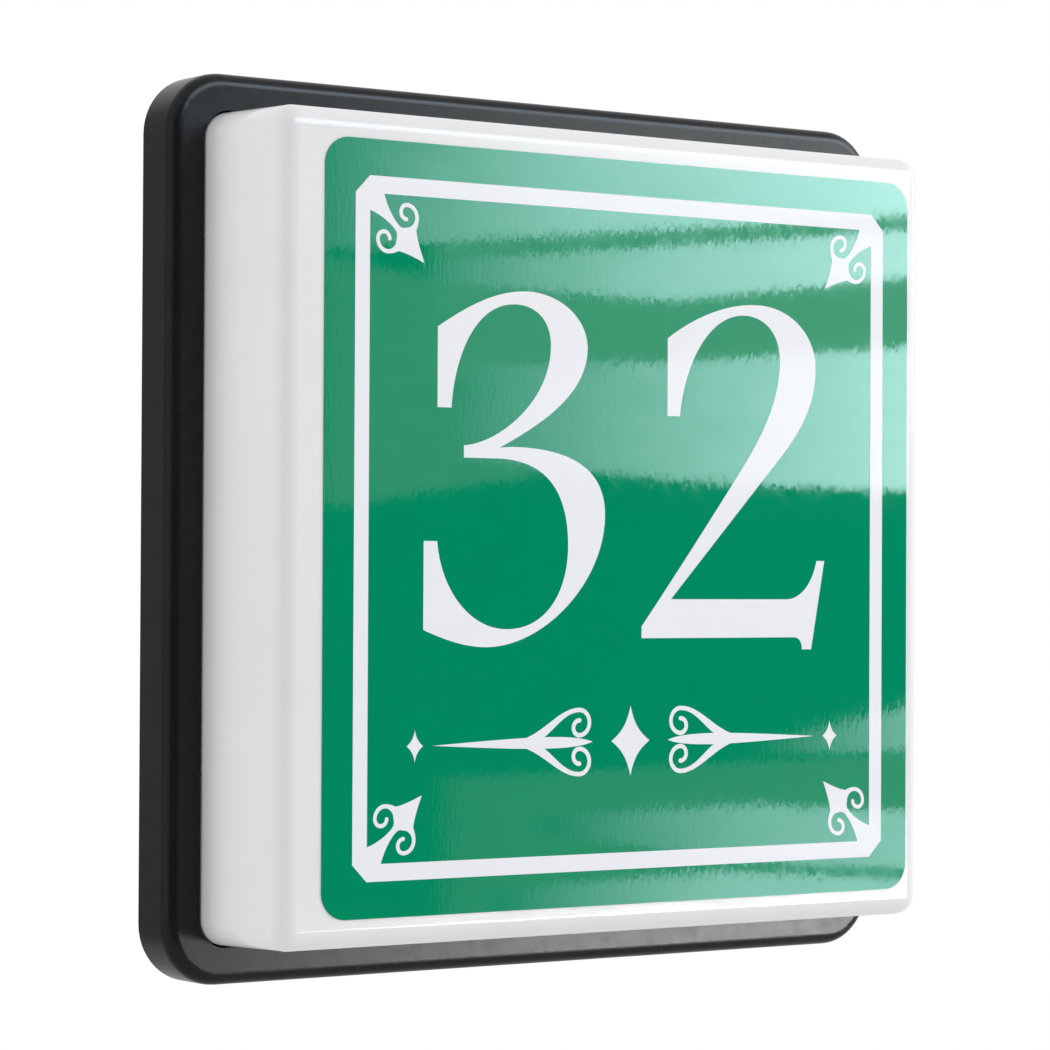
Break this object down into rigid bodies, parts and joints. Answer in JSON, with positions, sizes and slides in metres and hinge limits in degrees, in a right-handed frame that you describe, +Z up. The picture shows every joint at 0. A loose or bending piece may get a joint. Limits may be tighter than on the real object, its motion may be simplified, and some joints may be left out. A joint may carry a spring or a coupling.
{
  "type": "illuminated house number sign",
  "caption": "Square wall light: a black housing, an opal box cover with a number film, and an LED board with its driver inside; the cover pulls off to the front.",
  "frame": {"origin": "centre of the housing's back face, which lies on the wall", "axes": "+Z up, +X to the right as seen from the street, +Y into the wall; the front faces -Y"},
  "size_m": [0.2396, 0.051, 0.2396],
  "materials": {
    "black_plastic": "moulded, satin, fine texture",
    "black_rubber": "matt",
    "grey_foam": "matt closed-cell foam",
    "opal": "opal white, gloss, translucent",
    "green_film": "gloss print film",
    "spring_steel": "bright",
    "white_sheet": "satin white powder coat",
    "board_white": "white solder mask",
    "led_body": "yellow phosphor",
    "connector_white": "satin",
    "zinc_screw": "bright zinc",
    "driver_white": "satin",
    "board_green": "solder mask",
    "coil_yellow": "tape",
    "can_black": "sleeved",
    "block_white": "satin",
    "brass": "bright",
    "wire_brown": "PVC",
    "wire_blue": "PVC",
    "wire_yellow": "PVC",
    "wire_red": "PVC",
    "wire_black": "PVC"
  },
  "bodies": {
    "base": {"back_housing": "black_plastic", "wall_gasket": "grey_foam", "cover_gasket": "grey_foam", "cable_grommet": "black_rubber", "retaining_springs": "spring_steel", "reflector_tray": "white_sheet", "tray_screws": "zinc_screw", "led_board": "board_white", "leds": "led_body", "led_connector": "connector_white", "led_board_screws": "zinc_screw", "driver_case": "driver_white", "driver_lid": "driver_white", "driver_board": "board_green", "driver_transformer": "coil_yellow", "driver_capacitors": "can_black", "driver_screws": "zinc_screw", "terminal_block": "block_white", "terminal_clamps": "brass", "terminal_screws": "zinc_screw", "terminal_block_screws": "zinc_screw", "live_wire": "wire_brown", "neutral_wire": "wire_blue", "earth_wire": "wire_yellow", "led_wire_red": "wire_red", "led_wire_black": "wire_black", "earth_tag": "zinc_screw", "earth_nut": "zinc_screw"},
    "cover": {"diffuser_cover": "opal", "number_film": "green_film"}
  },
  "joints": [
    {"name": "cover_pull", "type": "slide", "parent": "base", "child": "cover", "axis": [0, -1, 0], "range_m": [0, 0.06], "deforming": ["retaining_springs"]}
  ]
}
